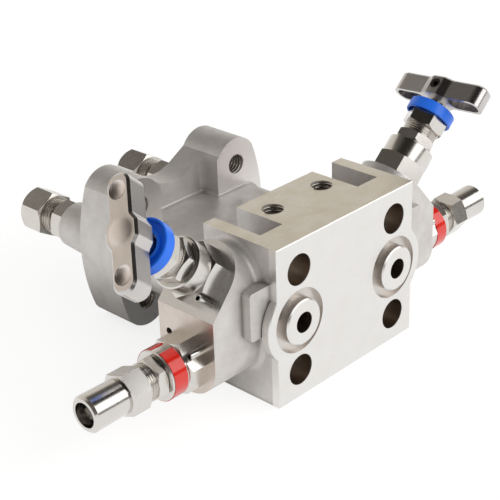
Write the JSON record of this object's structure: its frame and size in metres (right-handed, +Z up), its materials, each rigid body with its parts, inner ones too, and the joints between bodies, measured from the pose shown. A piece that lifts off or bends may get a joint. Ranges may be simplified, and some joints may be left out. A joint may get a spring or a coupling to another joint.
{
  "type": "instrument valve manifold",
  "caption": "Instrument manifold with a bolting face, a process flange, T-bar isolate valves, keyed vent valves and tube fittings.",
  "frame": {"origin": "centre of the instrument face, midway between the two ports", "axes": "+X along the instrument face through both ports, +Y back to the process end, +Z up"},
  "size_m": [0.2248, 0.1548, 0.0996],
  "materials": {
    "cast_body": "cast and machined",
    "turned_steel": "turned",
    "bright_tube": "fine turned",
    "fitting_steel": "polished",
    "cast_handle": "blasted",
    "pin_steel": "bright",
    "dark_screw": "dark",
    "white_packing": "smooth",
    "blue_cap": "moulded",
    "red_label": "printed"
  },
  "bodies": {
    "root": {"manifold_body": "cast_body", "bonnet_pins_left": "pin_steel", "isolate_bonnet_left": "turned_steel", "isolate_lock_nut_left": "turned_steel", "isolate_gland_adjuster_left": "turned_steel", "isolate_packing_left": "white_packing", "isolate_thrust_washer_left": "turned_steel", "dust_cap_left": "blue_cap", "vent_bonnet_left": "turned_steel", "vent_label_band_left": "red_label", "vent_lock_nut_left": "turned_steel", "vent_shroud_left": "bright_tube", "vent_packing_left": "white_packing", "vent_thrust_washer_left": "turned_steel", "fitting_body_left": "fitting_steel", "fitting_nut_left": "fitting_steel", "fitting_front_ferrule_left": "fitting_steel", "fitting_back_ferrule_left": "fitting_steel", "bonnet_pins_right": "pin_steel", "isolate_bonnet_right": "turned_steel", "isolate_lock_nut_right": "turned_steel", "isolate_gland_adjuster_right": "turned_steel", "isolate_packing_right": "white_packing", "isolate_thrust_washer_right": "turned_steel", "dust_cap_right": "blue_cap", "vent_bonnet_right": "turned_steel", "vent_label_band_right": "red_label", "vent_lock_nut_right": "turned_steel", "vent_shroud_right": "bright_tube", "vent_packing_right": "white_packing", "vent_thrust_washer_right": "turned_steel", "fitting_body_right": "fitting_steel", "fitting_nut_right": "fitting_steel", "fitting_front_ferrule_right": "fitting_steel", "fitting_back_ferrule_right": "fitting_steel"},
    "isolate_tip_left_body": {"isolate_tip_left": "turned_steel"},
    "isolate_handle_left_body": {"isolate_spindle_left": "turned_steel", "t_bar_left": "cast_handle", "t_bar_set_screw_left": "dark_screw"},
    "vent_tip_left_body": {"vent_tip_left": "turned_steel"},
    "vent_key_spindle_left_body": {"vent_spindle_left": "turned_steel"},
    "isolate_tip_right_body": {"isolate_tip_right": "turned_steel"},
    "isolate_handle_right_body": {"isolate_spindle_right": "turned_steel", "t_bar_right": "cast_handle", "t_bar_set_screw_right": "dark_screw"},
    "vent_tip_right_body": {"vent_tip_right": "turned_steel"},
    "vent_key_spindle_right_body": {"vent_spindle_right": "turned_steel"}
  },
  "joints": [
    {"name": "isolate_lift_left", "type": "slide", "parent": "root", "child": "isolate_tip_left_body", "axis": [-0.7547, 0, 0.6561], "range_m": [0, 0.003]},
    {"name": "isolate_turn_left", "type": "hinge", "parent": "isolate_tip_left_body", "child": "isolate_handle_left_body", "pos_m": [-0.0538, 0.0215, 0.0216], "axis": [-0.7547, 0, 0.6561], "range_deg": [0, 1080]},
    {"name": "vent_lift_left", "type": "slide", "parent": "root", "child": "vent_tip_left_body", "axis": [-1, 0, 0], "range_m": [0, 0.003]},
    {"name": "vent_turn_left", "type": "hinge", "parent": "vent_tip_left_body", "child": "vent_key_spindle_left_body", "pos_m": [-0.063, 0.0215, -0.0076], "axis": [-1, 0, 0], "range_deg": [0, 1080]},
    {"name": "isolate_lift_right", "type": "slide", "parent": "root", "child": "isolate_tip_right_body", "axis": [0.7547, 0, 0.6561], "range_m": [0, 0.003]},
    {"name": "isolate_turn_right", "type": "hinge", "parent": "isolate_tip_right_body", "child": "isolate_handle_right_body", "pos_m": [0.0538, 0.0215, 0.0216], "axis": [0.7547, 0, 0.6561], "range_deg": [0, 1080]},
    {"name": "vent_lift_right", "type": "slide", "parent": "root", "child": "vent_tip_right_body", "axis": [1, 0, 0], "range_m": [0, 0.003]},
    {"name": "vent_turn_right", "type": "hinge", "parent": "vent_tip_right_body", "child": "vent_key_spindle_right_body", "pos_m": [0.063, 0.0215, -0.0076], "axis": [1, 0, 0], "range_deg": [0, 1080]}
  ],
  "couplings": [
    {"joint": "isolate_turn_left", "follows": "isolate_lift_left", "rad_per_m": 6283.2},
    {"joint": "vent_turn_left", "follows": "vent_lift_left", "rad_per_m": 6283.2},
    {"joint": "isolate_turn_right", "follows": "isolate_lift_right", "rad_per_m": 6283.2},
    {"joint": "vent_turn_right", "follows": "vent_lift_right", "rad_per_m": 6283.2}
  ]
}
